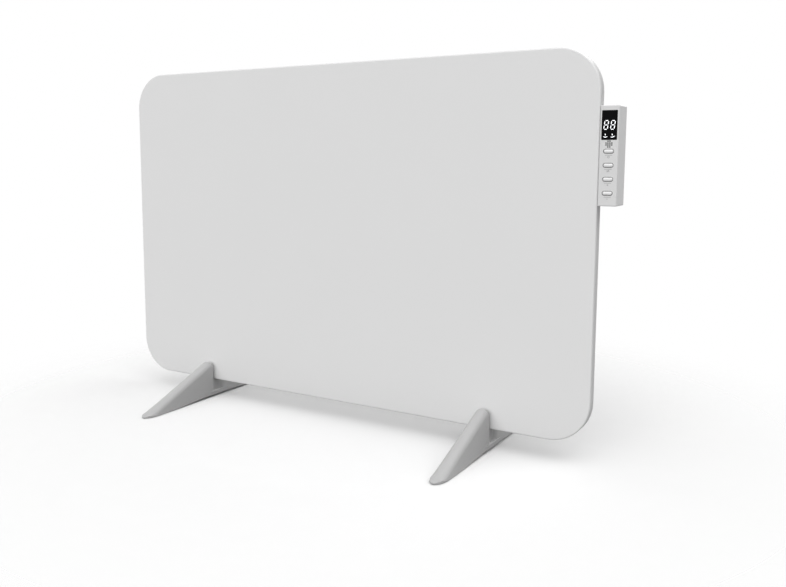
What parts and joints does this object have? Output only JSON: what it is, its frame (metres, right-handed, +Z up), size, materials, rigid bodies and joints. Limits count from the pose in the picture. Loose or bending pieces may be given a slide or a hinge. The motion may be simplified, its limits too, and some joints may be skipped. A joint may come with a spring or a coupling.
{
  "type": "infrared panel heater",
  "caption": "Thin white radiant panel with rounded corners, standing in wedge-shaped feet, with a side control box that has a display, sound holes and push buttons.",
  "frame": {"origin": "on the floor, under the middle of the whole width and the middle of the feet's depth", "axes": "+X to the right along the panel seen from the front, +Y to the back, +Z up"},
  "size_m": [0.968, 0.385, 0.634],
  "materials": {
    "white_enamel": "smooth satin stove enamel",
    "white_powder_coat": "fine matt powder coat",
    "white_moulding": "finely textured ABS",
    "grey_moulding": "finely textured ABS",
    "display_glass": "polished tinted acrylic",
    "black_plastic": "moulded",
    "green_plastic": "moulded",
    "pale_plastic": "moulded",
    "circuit_board": "solder resist on glass laminate",
    "black_rubber": "moulded",
    "zinc_plated_steel": "zinc plated",
    "galvanised_steel": "rolled, galvanised",
    "copper": "bright rolled strip",
    "bright_foil": "bright rolled foil",
    "carbon_film": "printed carbon film",
    "fibre_board": "pressed mineral fibre",
    "lead_insulation": "silicone sleeve"
  },
  "bodies": {
    "heater": {"bottom_rail": "galvanised_steel", "buzzer": "black_plastic", "control_back_cover": "white_moulding", "control_backing_plate": "galvanised_steel", "control_board": "circuit_board", "control_board_screws": "zinc_plated_steel", "control_cover_screws": "zinc_plated_steel", "control_housing": "white_moulding", "control_mounting_screws": "zinc_plated_steel", "copper_busbars": "copper", "cord_gland": "black_plastic", "display_lens": "display_glass", "display_module": "black_plastic", "foot_screws": "zinc_plated_steel", "front_panel": "white_enamel", "gland_nut": "black_plastic", "heating_film": "carbon_film", "insulation_board": "fibre_board", "lead_grommet": "black_rubber", "left_foot": "grey_moulding", "left_foot_anchor": "galvanised_steel", "left_foot_pads": "black_rubber", "left_rail": "galvanised_steel", "lower_heater_lead": "lead_insulation", "mains_fuse": "pale_plastic", "power_board": "circuit_board", "power_board_screws": "zinc_plated_steel", "rear_cover": "white_powder_coat", "rear_cover_screws": "zinc_plated_steel", "reflector_foil": "bright_foil", "relay": "black_plastic", "right_foot": "grey_moulding", "right_foot_anchor": "galvanised_steel", "right_foot_pads": "black_rubber", "right_rail": "galvanised_steel", "signal_connector": "pale_plastic", "signal_ribbon": "pale_plastic", "tact_switches": "black_plastic", "temperature_probe": "zinc_plated_steel", "terminal_block": "green_plastic", "thermal_cutout": "zinc_plated_steel", "tilt_switch": "black_plastic", "top_rail": "galvanised_steel", "transformer": "black_plastic", "upper_heater_lead": "lead_insulation", "wall_mount_inserts": "zinc_plated_steel"},
    "power_key": {"power_button": "white_moulding", "power_switch_plunger": "black_plastic"},
    "mode_key": {"mode_button": "white_moulding", "mode_switch_plunger": "black_plastic"},
    "plus_key": {"plus_button": "white_moulding", "plus_switch_plunger": "black_plastic"},
    "minus_key": {"minus_button": "white_moulding", "minus_switch_plunger": "black_plastic"}
  },
  "joints": [
    {"name": "power_press", "type": "slide", "parent": "heater", "child": "power_key", "axis": [0, 1, 0], "range_m": [0, 0.0007], "stiffness_N_per_m": 400, "springref_m": -0.002},
    {"name": "mode_press", "type": "slide", "parent": "heater", "child": "mode_key", "axis": [0, 1, 0], "range_m": [0, 0.0007], "stiffness_N_per_m": 400, "springref_m": -0.002},
    {"name": "plus_press", "type": "slide", "parent": "heater", "child": "plus_key", "axis": [0, 1, 0], "range_m": [0, 0.0007], "stiffness_N_per_m": 400, "springref_m": -0.002},
    {"name": "minus_press", "type": "slide", "parent": "heater", "child": "minus_key", "axis": [0, 1, 0], "range_m": [0, 0.0007], "stiffness_N_per_m": 400, "springref_m": -0.002}
  ]
}
